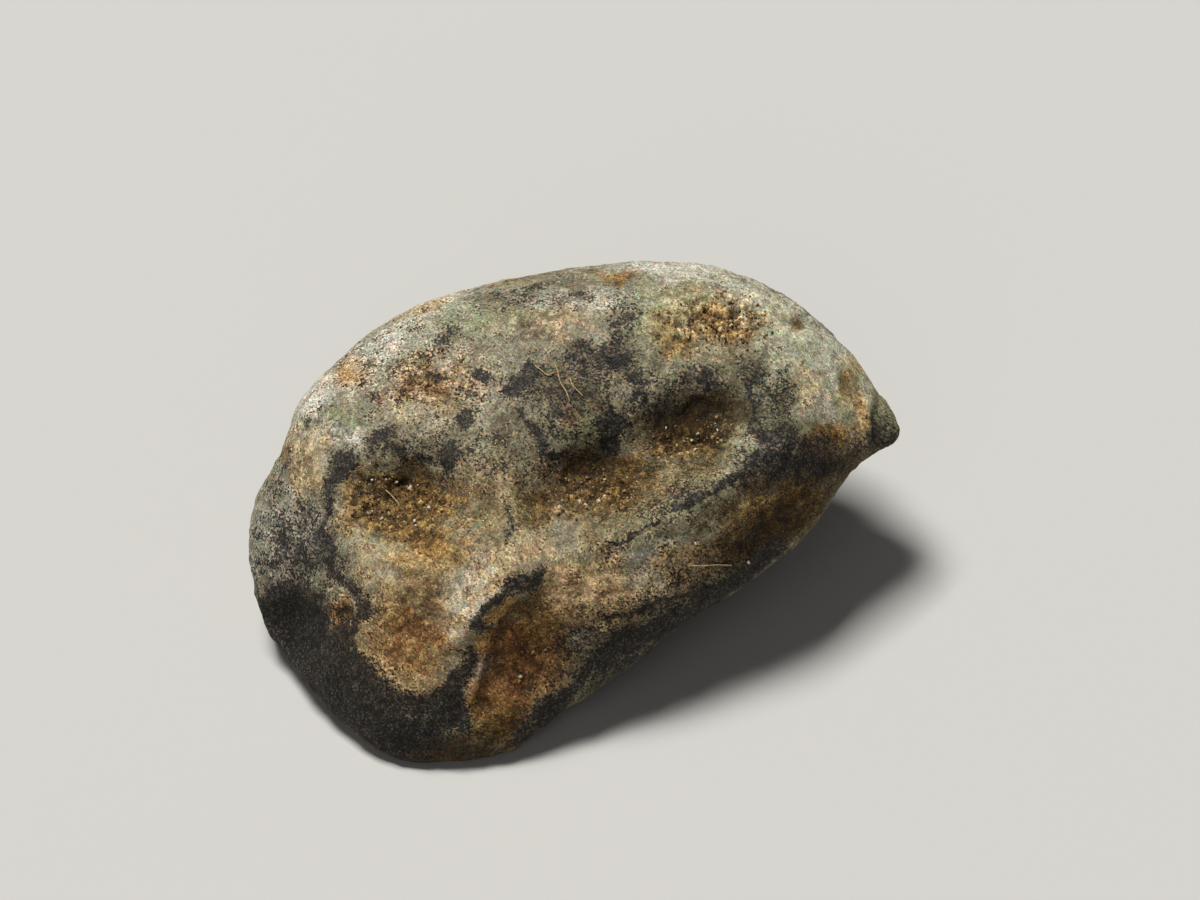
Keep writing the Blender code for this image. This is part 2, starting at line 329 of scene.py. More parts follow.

# What stains the crust, from the top layer down, as patches on the broad face, with painted shade in the umber
# and the
#  varnish and painted highlights in the pale. A strength near 0.4 gives stray flecks, 0.5 covers half of the
#  ground, and 1 or more covers all of it.
stainsAndPaintedLight = {
    "varnishAndShade": {
        "hollowTopLeft": (-9.75, 2.15, 0.7, 0.42, 25, 0.98),
        "hollowTopMid": (-8.2, 3.15, 0.6, 0.5, 0, 0.92),
        "hollowTopRight": (-7.6, 2.5, 0.45, 0.5, 0, 0.92),
        "hollowDots": (-6.3, 2.2, 0.45, 0.3, 0, 0.92),
        "hollowCorner": (-5.25, 2.3, 0.55, 0.8, -15, 1.15),
        "hollowCornerTop": (-4.6, 3.9, 0.55, 0.4, 0, 0.85),
        "shoulderFlecks": (-11.2, 3.9, 0.3, 0.18, 0, 0.80),
        "shoulderFlecksUp": (-10.8, 4.6, 0.25, 0.16, 0, 0.76),
        "bossLeft": (-2.4, 5.3, 0.6, 0.5, 20, 0.98),
        "bossLeftTop": (-1.9, 5.9, 0.5, 0.3, 20, 0.90),
        "bossInner": (-1.1, 4.3, 0.45, 0.55, 0, 0.68),
        "bossFootRight": (1.5, 3.7, 0.75, 0.65, 0, 1.05),
        "bossFootLow": (1.65, 3.0, 0.45, 0.45, 0, 1.0),
        "bossTopRight": (1.9, 6.5, 0.8, 0.7, 0, 0.90),
        "bossTopMid": (0.2, 6.75, 1.0, 0.35, 0, 0.80),
        "bossRight": (2.7, 5.2, 0.45, 0.9, 0, 0.98),
        "bossTopUp": (2.0, 8.2, 0.4, 0.6, 0, 0.78),
        "leftFlank": (-12.0, -1.6, 2.0, 2.1, 0, 0.74),
        # the lower left: varnish laid full, and painted shade where the skin faces down
        "leftDark": (-11.9, -5.0, 1.9, 2.6, 20, 0.95),
        "leftLow": (-9.6, -7.9, 3.2, 1.4, -38, 1.5),
        "leftMiddle": (-9.6, -6.8, 1.8, 1.0, -48, 1.0),
        "bottom": (-6.0, -10.0, 2.8, 0.8, 0, 0.46),
        "boss": (0.0, 4.9, 2.6, 2.2, 0, 0.52),
        "middleStreak": (-2.8, -0.4, 0.2, 1.1, 2, 0.76),
        "bossEdge": (1.2, 6.4, 2.6, 0.9, 0, 0.56),
        "aboveBoss": (2.1, 8.0, 0.8, 1.4, 0, 0.55),
        "bossSide": (2.9, 5.2, 1.2, 1.4, 0, 0.58),
        "rightTop": (7.8, 5.9, 1.0, 0.7, -15, 0.68),
        "right": (8.4, 4.5, 0.9, 1.5, 12, 0.66),
        "bossOuter": (-4.4, 4.7, 0.9, 0.7, 0, 0.58),
        "rightFoot": (8.7, 3.1, 1.1, 0.8, 0, 0.80),
        "rightLow": (9.2, 2.1, 2.6, 0.9, 8, 0.74),
        "upperRight": (5.4, 5.7, 1.8, 0.8, 0, 0.52),
        "leftShoulder": (-6.3, 2.9, 2.6, 1.2, 0, 0.52),
        "leftEdge": (-12.6, 1.2, 1.0, 2.0, 0, 0.48),
        "flank": (6.6, -2.0, 4.0, 1.2, 30, 0.36),
        "troughLip": (4.2, 0.4, 2.2, 0.7, 27, 0.56),
        "topLeft": (-7.5, 6.0, 4.6, 2.6, 25, 0.39),
        "middle": (-2.5, 2.4, 3.0, 2.0, 0, 0.40),
        "trough": (3.0, -1.0, 4.0, 1.2, 27, 0.34),
        "scoop": (-9.4, -4.4, 1.2, 1.8, 0, 0.48),
        "lowRight": (3.6, -5.1, 5.2, 1.7, 33, 0.74),
        "scarRight": (0.5, -5.3, 1.3, 1.0, 40, 0.62),
        "top": (-2.0, 9.0, 3.5, 0.6, 6, 0.46),
        "topStreakLeft": (-3.4, 9.2, 0.9, 0.28, 8, 0.60),
        "topStreakMid": (-1.6, 9.7, 1.2, 0.22, 10, 0.58),
        "topStreakRight": (0.2, 9.4, 0.6, 0.22, -20, 0.60),
        "shoulderDots": (-5.4, 7.4, 0.7, 0.45, 20, 0.70),
        "rim": (-9.0, 6.8, 2.5, 1.2, 30, 0.36),
        "nub": (13.3, 3.3, 0.7, 1.1, 0, 0.62),
    },
    # Umber is a dark brown stain, and also painted shade: in the upper walls of the hollows, on the dark right
    # flank turning down, in the flank dent and along the bottom.
    "umberAndShade": {
        "boss": (0.2, 4.8, 2.8, 2.2, 0, 0.60),
        # painted shade in the upper walls of the middle and upper hollows, with the brown stain
        "middleHollow": (0.6, 2.1, 2.2, 0.8, 6, 0.62),
        "upperHollow": (5.0, 4.0, 2.5, 1.4, 12, 0.96),
        # painted shade on the dark right wall where it turns down
        "darkRight": (9.4, 1.8, 2.8, 1.0, 14, 1.15),
        "midPlain": (-3.0, 1.0, 2.2, 2.4, 0, 0.50),
        "trough": (3.6, 0.7, 3.8, 1.3, 27, 0.56),
        "troughSide": (6.5, 0.2, 1.7, 0.7, 33, 0.72),
        "hollowSill": (3.6, 2.1, 1.0, 0.7, 20, 0.66),
        "leftHollowLow": (-6.8, -0.8, 2.6, 1.1, -8, 0.42),
        "leftHollow": (-7.8, 1.3, 2.6, 0.7, 0, 0.56),
        "beakBase": (10.7, 2.8, 1.4, 0.6, 12, 0.74),
        "nub": (13.2, 3.2, 0.8, 1.0, 0, 0.70),
        # painted shade on the right flank and along the bottom where the skin turns from the light, with the
        # brown stain
        "rightFlank": (8.1, -0.8, 3.4, 1.1, 36, 0.95),
        "rightLow": (9.4, 1.5, 2.4, 0.8, 14, 0.95),
        "bottom": (-6.2, -10.3, 3.4, 1.0, 0, 1.3),
        "scar": (-2.2, -6.4, 1.6, 2.0, -28, 0.42),
        # painted shade in the flank dent
        "flankDent": (-12.3, -4.9, 1.6, 1.8, 0, 1.0),
        "leftFoot": (-10.6, -8.0, 1.6, 1.4, -40, 0.7),
        "scarFoot": (-2.8, -9.2, 1.6, 0.9, 30, 0.7),
    },
    "red": {
        "scar": (-2.7, -6.6, 1.5, 1.9, -28, 0.90),
        "scoop": (-7.0, -5.2, 1.8, 2.4, 8, 0.52),
        "peach": (0.0, -3.0, 1.6, 0.8, -10, 0.46),
        "scarRight": (-1.0, -6.0, 1.0, 1.4, -28, 0.60),
        "scarFoot": (-2.5, -8.0, 1.8, 1.4, -28, 0.70),
        "boss": (-0.2, 4.1, 0.7, 0.5, 0, 0.80),
        "shoulder": (-6.4, 5.0, 2.0, 0.4, 5, 0.62),
        "upperHollow": (4.2, 3.6, 1.0, 0.5, 0, 0.55),
        "middleHollow": (-0.6, 1.8, 1.2, 0.5, 0, 0.5),
    },
    "rust": {
        "leftHollow": (-7.4, 0.3, 2.6, 1.7, 0, 1.0),
        "leftHollowFoot": (-6.2, -1.1, 2.4, 1.0, -10, 0.75),
        "shoulder": (-6.0, 5.4, 2.6, 1.3, 0, 0.60),
        "middleHollow": (0.9, 1.2, 2.5, 1.2, 12, 1.0),
        "middleHollowLeft": (-1.4, 0.3, 1.0, 1.0, 0, 0.75),
        "upperHollow": (4.6, 3.3, 2.1, 1.2, 15, 0.90),
        "upperOrange": (3.7, 3.0, 1.0, 0.6, 0, 1.0),
        "topHollow": (6.4, 7.9, 1.8, 1.0, 0, 0.66),
        "topHollowLeft": (4.2, 7.3, 1.0, 0.9, 0, 0.55),
        "beakBase": (10.9, 3.15, 1.1, 0.5, 10, 0.86),
        "rightFlank": (7.8, -0.6, 3.4, 1.5, 35, 0.80),
        "rightOrange": (9.4, 0.6, 1.3, 0.7, 30, 1.0),
        "scarRight": (-0.6, -5.6, 1.0, 1.4, -28, 0.72),
        "scar": (-1.8, -6.2, 1.6, 2.2, -28, 0.9),
        "scarLeft": (-3.1, -5.0, 0.7, 1.2, -40, 1.0),
        "scarFoot": (-3.1, -8.3, 1.5, 1.6, -20, 1.0),
        "scoop": (-7.1, -5.3, 1.8, 2.3, 8, 0.62),
        "yellowSpot": (-9.75, -4.1, 0.6, 0.9, 0, 0.80),
        "bottom": (-6.2, -10.2, 1.8, 0.6, 0, 0.5),
        "topRim": (1.7, 10.1, 1.2, 0.35, 0, 0.7),
        "topRimLeft": (-3.0, 9.9, 1.6, 0.3, 8, 0.5),
        "leftRim": (-9.8, 5.9, 0.6, 0.5, 0, 0.7),
        "leftEdge": (-12.6, 2.4, 0.4, 0.7, 0, 0.65),
        "beakSpot": (11.7, 5.7, 0.35, 0.8, -14, 0.44),
        "beakBand": (12.4, 4.0, 0.28, 1.2, 4, 0.46),
        "rimSpot": (9.6, 8.1, 0.4, 0.4, 0, 0.7),
        "trough": (3.4, 0.9, 4.2, 1.7, 27, 0.40),
        "flank": (4.6, -2.2, 4.0, 1.3, 32, 0.46),
        "scarTop": (-2.2, -4.1, 1.5, 0.6, 38, 0.68),
        "crest": (-3.6, -3.2, 1.2, 1.9, -38, 0.44),
        "crestFoot": (-6.4, -1.9, 3.4, 1.0, 6, 0.46),
    },
    "ochre": {
        "scoop": (-7.1, -5.4, 2.9, 3.6, 8, 0.84),
        "crestFoot": (-6.4, -2.2, 3.4, 1.4, 4, 0.60),
        "crestTop": (-2.2, -1.9, 2.2, 1.2, 0, 0.62),
        "crest": (-3.9, -3.4, 1.2, 2.0, -38, 0.50),
        "peach": (0.5, -3.5, 2.4, 1.4, -8, 1.2),
        "scarTop": (-1.7, -4.7, 1.6, 1.2, 30, 1.0),
        "rimLeft": (-6.0, 9.2, 3.2, 0.35, 24, 0.60),
        "shoulder": (-6.2, 5.2, 2.8, 1.6, 0, 0.74),
        "leftTop": (-9.6, 5.9, 0.9, 0.8, 35, 0.85),
        "leftShoulder": (-11.6, 2.0, 1.0, 2.0, 0, 0.66),
        "topHollow": (5.8, 8.0, 2.6, 1.3, 0, 0.62),
        "trough": (3.4, 0.8, 4.2, 1.6, 27, 0.48),
        "troughFoot": (1.4, -1.4, 2.2, 1.0, 15, 0.52),
        "flank": (4.9, -2.5, 3.9, 1.3, 30, 0.66),
        "middle": (-3.2, 0.8, 2.2, 2.6, 0, 0.54),
        "middleTop": (-0.7, 8.1, 2.6, 1.1, 0, 0.50),
        "beakMid": (9.9, 5.3, 1.0, 1.2, 0, 0.46),
        "beakSpot": (11.9, 5.4, 0.5, 1.1, -14, 0.64),
        "yellowSpot": (-9.9, -4.3, 0.5, 0.9, 0, 1.0),
        "lowSpot": (-9.8, -5.6, 0.3, 0.4, 0, 0.9),
        "beakBand": (12.4, 4.0, 0.4, 1.3, 4, 0.80),
        "beakBase": (10.8, 3.2, 0.9, 0.5, 0, 0.62),
    },
    "green": {
        "boss": (0.5, 3.5, 1.6, 1.0, 0, 0.85),
        "topLeft": (-4.9, 8.2, 2.6, 0.9, 10, 0.75),
        "trough": (3.7, 0.4, 2.8, 1.4, 30, 0.75),
        "beakLow": (9.9, 3.6, 1.0, 0.6, 0, 0.6),
        "troughFoot": (1.3, -1.6, 1.8, 0.7, 20, 0.7),
        "middle": (-2.2, -0.5, 1.0, 0.9, 0, 0.8),
        "middleLeft": (-4.1, -0.2, 0.9, 0.7, 0, 0.8),
        "topRight": (9.0, 7.4, 3.0, 1.5, -38, 0.8),
        "leftShoulder": (-10.0, 4.0, 1.2, 0.5, 0, 0.6),
        "shoulderTop": (-7.2, 6.3, 1.2, 0.5, 10, 0.75),
        "shoulderIn": (-5.0, 4.4, 1.4, 0.5, 0, 0.75),
        "flank": (4.5, -2.2, 2.6, 1.0, 30, 0.7),
        "topHollow": (4.6, 8.3, 2.4, 1.4, 0, 1.0),
        "right": (8.2, 5.0, 1.5, 2.3, 0, 0.62),
        "upperHollow": (6.5, 2.9, 1.3, 1.0, 0, 0.8),
        "nub": (13.2, 3.9, 0.8, 1.2, 0, 0.9),
        "beakSpot": (11.9, 5.4, 0.7, 1.3, -14, 1.0),
    },
    "paleAndHighlight": {
        "crest": (-4.2, -3.5, 0.9, 1.9, -38, 1.0),
        "crestLow": (-5.1, -5.1, 0.7, 1.5, -30, 0.85),
        "scarEdge": (-3.95, -6.9, 1.9, 0.16, 75, 1.0),
        "leftTop": (-9.5, 5.7, 1.7, 0.9, 20, 0.85),
        # pale crust, and a painted highlight along the lit left rim
        "rimLeft": (-9.4, 6.2, 3.8, 0.7, 38, 1.0),
        "leftEdge": (-12.3, 0.3, 0.8, 1.1, 0, 0.65),
        "scoop": (-6.5, -4.4, 1.4, 1.6, 8, 0.46),
        "upperLip": (7.4, 3.2, 0.45, 1.6, -12, 0.42),
        "topHollow": (5.9, 7.9, 2.0, 1.0, 0, 0.54),
        "crestTop": (-2.6, -1.9, 2.6, 0.6, 0, 0.54),
        "crestLeft": (-5.4, -2.7, 4.3, 0.8, 4, 0.38),
        "leftShoulder": (-11.7, 3.0, 1.2, 2.7, -10, 0.60),
        "shoulderIn": (-9.9, 3.2, 1.1, 0.6, 0, 0.6),
        "shoulder": (-6.0, 5.3, 2.8, 1.4, 0, 1.0),
        "yellowSpot": (-9.75, -3.9, 0.6, 0.9, 0, 0.9),
        "green": (1.2, -1.8, 1.8, 0.7, 15, 0.62),
        "troughLip": (2.0, -1.0, 1.5, 0.6, 27, 0.40),
        # pale crust, and painted light on the dimly lit peach facet below the ledge
        "peach": (0.5, -3.2, 1.8, 1.0, -8, 1.0),
        "leftFlank": (-12.2, -1.4, 1.9, 2.2, 0, 0.85),
        "topMid": (-1.2, 7.6, 3.0, 1.2, 0, 0.38),
        "topRight": (9.2, 7.5, 3.4, 1.3, -38, 0.95),
        "beak": (10.3, 4.6, 1.4, 1.0, 0, 0.5),
        "topLeft": (-6.7, 7.7, 3.6, 0.9, 22, 0.70),
        # pale crust, and a painted highlight along the lit top rim
        "rimTop": (-5.8, 9.15, 3.2, 0.4, 27, 1.0),
        "top": (0.0, 9.0, 4.0, 0.7, 0, 0.62),
        "topRim": (4.5, 10.4, 3.0, 0.5, 0, 0.8),
        "flank": (3.4, -2.6, 2.6, 1.0, 25, 0.95),
        "flankRight": (6.6, -1.6, 2.0, 0.7, 33, 0.55),
    },
}

# Where the ground is crumbly and holds grit
crumblyGround = {
    "leftHollow": (-7.7, 0.3, 2.2, 1.3, 0, 1.0),
    "shoulder": (-5.9, 5.3, 2.4, 1.0, 0, 0.52),
    "middleHollow": (0.8, 0.7, 1.9, 1.0, 10, 0.9),
    "upperHollow": (4.8, 3.0, 2.2, 0.9, 15, 0.8),
    "topHollow": (6.0, 8.0, 2.2, 1.2, 0, 1.0),
    "scar": (-2.0, -6.6, 1.3, 2.2, -28, 0.4),
    "scoop": (-7.4, -4.9, 1.4, 1.9, 0, 0.40),
}

skinSettings = {
    "weld": 0.01,  # mm
    "voxel": 0.135,  # mm
    "soften": 10,
    "settle": 2,
    # Where parts of the skin start and where they are full: by height in mm, so that the flat it rests on stays
    # flat; by how far it faces out of the broad face or away from it; and by how crumbly it is.
    "above": (0.03, 0.5),
    "front": (0.0, 0.3),
    "behind": (0.1, 0.55),
    "rough": (0.25, 0.8),
    # name: texture size in mm, height in mm, where
    "layers": {
        "back": (2.6, 0.48, "hidden"),
        "swell": (2.2, 0.16, "above"),
        "lump": (0.9, 0.09, "above"),
        "grain": (0.32, 0.05, "above"),
        "crumb": (0.40, 0.40, "rough"),
    },
}


def buildSkin():
    piece = bpy.data.objects.new("stone_skin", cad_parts["stone"].data.copy())
    bpy.context.scene.collection.objects.link(piece)
    piece.data.name = "stone_skin"
    weld(piece, skinSettings["weld"])
    finishWith(piece, "REMESH", "evenGrid", mode="VOXEL", voxel_size=skinSettings["voxel"] * mm)
    finishWith(piece, "SMOOTH", "soften", factor=0.5, iterations=skinSettings["soften"])

    spots, normals = readSpots(piece), readNormals(piece)
    u, v = faceSpots(spots)[:2]
    facing = facingOf(normals)
    front = smoothStep(*skinSettings["front"], facing)
    above = smoothStep(*skinSettings["above"], spots[:, 2] / mm)
    storeWeights(piece, "above", above)
    storeWeights(piece, "hidden", above * smoothStep(*skinSettings["behind"], -facing))
    rough = smoothStep(*skinSettings["rough"], patchField(u, v, crumblyGround))
    storeWeights(piece, "rough", above * front * rough)
    height = ledgeField(u, v, relief["ledges"]) - hollowDepth(u, v, relief["hollows"])
    height += ridgeField(u, v, relief["ridges"]) - hollowDepth(u, v, relief["swellings"])
    spots += normals * (height * front * above * mm)[:, None]
    for atU, atV, reach, du, dv in relief["pulls"].values():
        near = np.exp(-((u - atU) ** 2 + (v - atV) ** 2) / reach**2)
        spots += np.outer(near, (du * mm, dv * lean * mm, dv * lean * mm))
    moveTo(piece, spots)
    finishWith(piece, "SMOOTH", "settle", factor=0.5, iterations=skinSettings["settle"])
    for name, (size, tall, group) in skinSettings["layers"].items():
        texture = bpy.data.textures.new(name, "CLOUDS")
        texture.noise_scale = size * mm
        texture.noise_depth = 2
        finishWith(
            piece,
            "DISPLACE",
            name,
            texture=texture,
            texture_coords="LOCAL",
            strength=2 * tall * mm,  # a cloud texture reaches half its strength to either side
            vertex_group=group,
        )
    spots = readSpots(piece)
    spots[:, 2] = np.maximum(spots[:, 2], 0)
    moveTo(piece, spots)
    pick(piece)
    bpy.ops.object.shade_smooth()
    return piece


# How far each point lies below the skin around it, in units of depth mm
def pitField(piece, rounds, depth):
    spots = readSpots(piece)
    edges = np.empty(len(piece.data.edges) * 2, int)
    piece.data.edges.foreach_get("vertices", edges)
    a, b = edges.reshape(-1, 2).T
    count = np.bincount(a, minlength=len(spots)) + np.bincount(b, minlength=len(spots))
    even = spots.copy()
    for _ in range(rounds):
        even = np.stack(
            [
                (np.bincount(a, even[b, k], len(spots)) + np.bincount(b, even[a, k], len(spots))) / count
                for k in range(3)
            ],
            axis=1,
        )
    return ((even - spots) * readNormals(piece)).sum(1) / (depth * mm)


paintSettings = {
    "front": (-0.1, 0.25),  # how far the skin faces out where the marks start and where only they show
    "pitRounds": 24,
    "pitDepth": 0.06,  # mm
    # the slow drifts of stain over the hidden sides: size in mm and shift
    "drifts": ((4.3, (1, 5, 2)), (3.4, (8, 2, 6)), (2.6, (4, 9, 7)), (1.3, (2, 7, 3))),
    # how the marks waver, so that their outlines are ragged: mm to either side, size in mm, shifts for u and v
    "wavers": ((0.42, 1.1, (3, 1, 4), (5, 3, 5)), (0.22, 0.42, (9, 2, 6), (8, 9, 7))),
}


def paintSkin(piece):
    spots, normals = readSpots(piece), readNormals(piece)
    u, v = faceSpots(spots)[:2]
    front = smoothStep(*paintSettings["front"], facingOf(normals))
    pits = pitField(piece, paintSettings["pitRounds"], paintSettings["pitDepth"])
    for far, size, shiftU, shiftV in paintSettings["wavers"]:
        u = u + far * noiseField(spots, size, shiftU)
        v = v + far * noiseField(spots, size, shiftV)

    # the hidden sides are stained by slow drifts, and painted light makes them paler and greener on top while
    # painted shade makes them darker and browner underneath
    up = normals[:, 2]
    broad, large, middling, small = [noiseField(spots, size, shift) for size, shift in paintSettings["drifts"]]
    hidden = {
        "varnishAndShade": 0.37 + 0.55 * broad + 0.55 * small + 0.3 * large - 0.12 * up,
        "rust": 0.32 + 0.6 * large - 0.4 * small + 0.06 * pits,
        "paleAndHighlight": 0.36 + 0.5 * middling + 0.4 * small + 0.25 * up,
        "green": 0.25 + 0.6 * large * middling + 0.15 * up,
        "ochre": 0.34 + 0.5 * broad - 0.5 * large + 0.3 * small,
        "red": 0.15 + 0.5 * broad * large,
        "umberAndShade": 0.30 - 0.3 * up - 0.4 * middling,
    }
    for name, stain in hidden.items():
        shown = patchField(u, v, stainsAndPaintedLight[name])
        if name == "varnishAndShade":
            shown = np.maximum(strokeField(u, v, varnishAndShadeStrokes), shown)
        storeField(piece, name, front * shown + (1 - front) * np.clip(stain, 0, 1))
    # how deep each point lies in the skin, which sets the painted shade in the pits
    storeField(piece, "pitShade", np.clip(0.5 + 0.5 * pits, 0, 1))
    storeField(piece, "crumbly", front * patchField(u, v, crumblyGround))


def linear(hexColour):
    parts = [int(hexColour[i : i + 2], 16) / 255 for i in (0, 2, 4)]
    return tuple(c / 12.92 if c <= 0.04045 else ((c + 0.055) / 1.055) ** 2.4 for c in parts) + (1.0,)


# Adds a node: its settings, then what goes into it, which is a value, a hex colour or another node's output.
def addNode(tree, kind, inputs=None, ramp=None, **settings):
    node = tree.nodes.new("ShaderNode" + kind)
    for key, value in settings.items():
        setattr(node, key, value)
    for name, value in (inputs or {}).items():
        if isinstance(name, int):
            socket = node.inputs[name]
        else:
            socket = next(s for s in node.inputs if s.enabled and s.name == name)
        if isinstance(value, bpy.types.NodeSocket):
            tree.links.new(value, socket)
        else:
            socket.default_value = linear(value) if isinstance(value, str) else value
    if ramp:
        stops = node.color_ramp.elements
        while len(stops) < len(ramp):
            stops.new(0.5)
        for stop, (place, colour) in zip(stops, ramp):
            stop.position = place
            stop.color = linear(colour)
    return next(s for s in node.outputs if s.enabled)


def newMaterial(name):
    material = bpy.data.materials.new(name)
    material.use_nodes = True
    return material, material.node_tree, material.node_tree.nodes["Principled BSDF"]


stoneLook = {
    # Pattern sizes in mm. Single grains are nearer 0.03 and are drawn coarser to show.
    "grain": 0.075,
    "crumb": 0.23,
    # name: size in mm, octaves
    "noises": {"speck": (0.05, 1), "clump": (0.32, 3), "edge": (0.85, 4), "stain": (2.1, 4), "hue": (0.7, 3)},
    "noiseRoughness": 0.62,
    "noiseShift": (0.011, 0.006, -0.009),  # m from one noise to the next, so that no two look alike
    "base": [(0.30, "575244"), (0.45, "757062"), (0.56, "8e8a7d"), (0.70, "8b8b85")],
    "baseClumps": 0.6,
    "hueTint": [(0.36, "f6faf0"), (0.5, "ffffff"), (0.64, "fff5ee")],
    "grainTint": [(0.0, "fbdccb"), (0.25, "fff5e4"), (0.5, "eaf8de"), (0.75, "e8f1ec"), (1.0, "f3e4f6")],
    # What lies over the base, from the bottom up: the painted level it starts at, how soft its edge is, how far
    # clumps and single grains break that edge, how much it covers, and its colours.
    "layers": {
        # the pale also lays painted highlights on the top rim
        "paleAndHighlight": (0.45, 0.25, 1.0, 0.4, 0.95, [(0.35, "a3a19d"), (0.65, "cfcdcb")]),
        "green": (0.46, 0.30, 1.0, 0.4, 0.60, [(0.3, "6c704f"), (0.7, "99a187")]),
        "ochre": (0.46, 0.30, 1.0, 0.4, 0.85, [(0.30, "6d5333"), (0.48, "a3855e"), (0.70, "d6bc95")]),
        "rust": (
            0.46, 0.26, 1.0, 0.35, 0.88,
            [(0.30, "33230c"), (0.44, "654821"), (0.56, "8c6b3b"), (0.70, "b0905c")],
        ),
        "red": (0.48, 0.30, 1.0, 0.5, 0.66, [(0.3, "582d17"), (0.7, "8e5835")]),
        # the umber also lays painted shade
        "umberAndShade": (0.48, 0.36, 0.8, 0.4, 0.92, [(0.3, "1f1707"), (0.7, "413115")]),
        # the varnish also lays painted shade on the under edge and the lower left
        "varnishAndShade": (
            0.46, 0.22, 1.05, 0.55, 0.96,
            [(0.0, "0f0f0d"), (0.45, "1b1b19"), (0.8, "2b2828"), (1.0, "484143")],
        ),
    },
    "layerClumps": 0.8,
    # how far single grains move the tone within a layer, and how far painted shade darkens it down in the pits
    "toneGrains": 0.22,
    "tonePitShade": 0.2,
    # single grains of warm and cool sand: where the speck noise starts to show them and where it is full
    "flecks": {"8f6c40": (0.60, 0.75), "6c7468": (0.40, 0.25)},
    "fleckCover": 0.45,
    # what the darkest and the lightest of each pattern multiply the colour by
    "grainTone": (0.62, 1.42),
    "speckTone": (0.72, 1.30),
    "crumbTone": (0.42, 1.58),
    # painted shade: darker down in the pits, lighter on the rises
    "pitShadeTone": (1.20, 0.72),
    "roughness": (0.92, 0.70),  # bare crust and varnish
    "roughSpecks": 0.2,
    "specular": 0.2,  # a dusty crust scatters most of its gloss away
    "ior": 1.49,  # obsidian
    "bump": 0.06,  # mm
    "bumpStrength": 0.7,
    "grainDome": 0.45,
    "crumbDome": 1.8,
}
fullRange = (0.0, 1.0)
noiseRange = (0.3, 0.7)  # a noise seldom leaves this


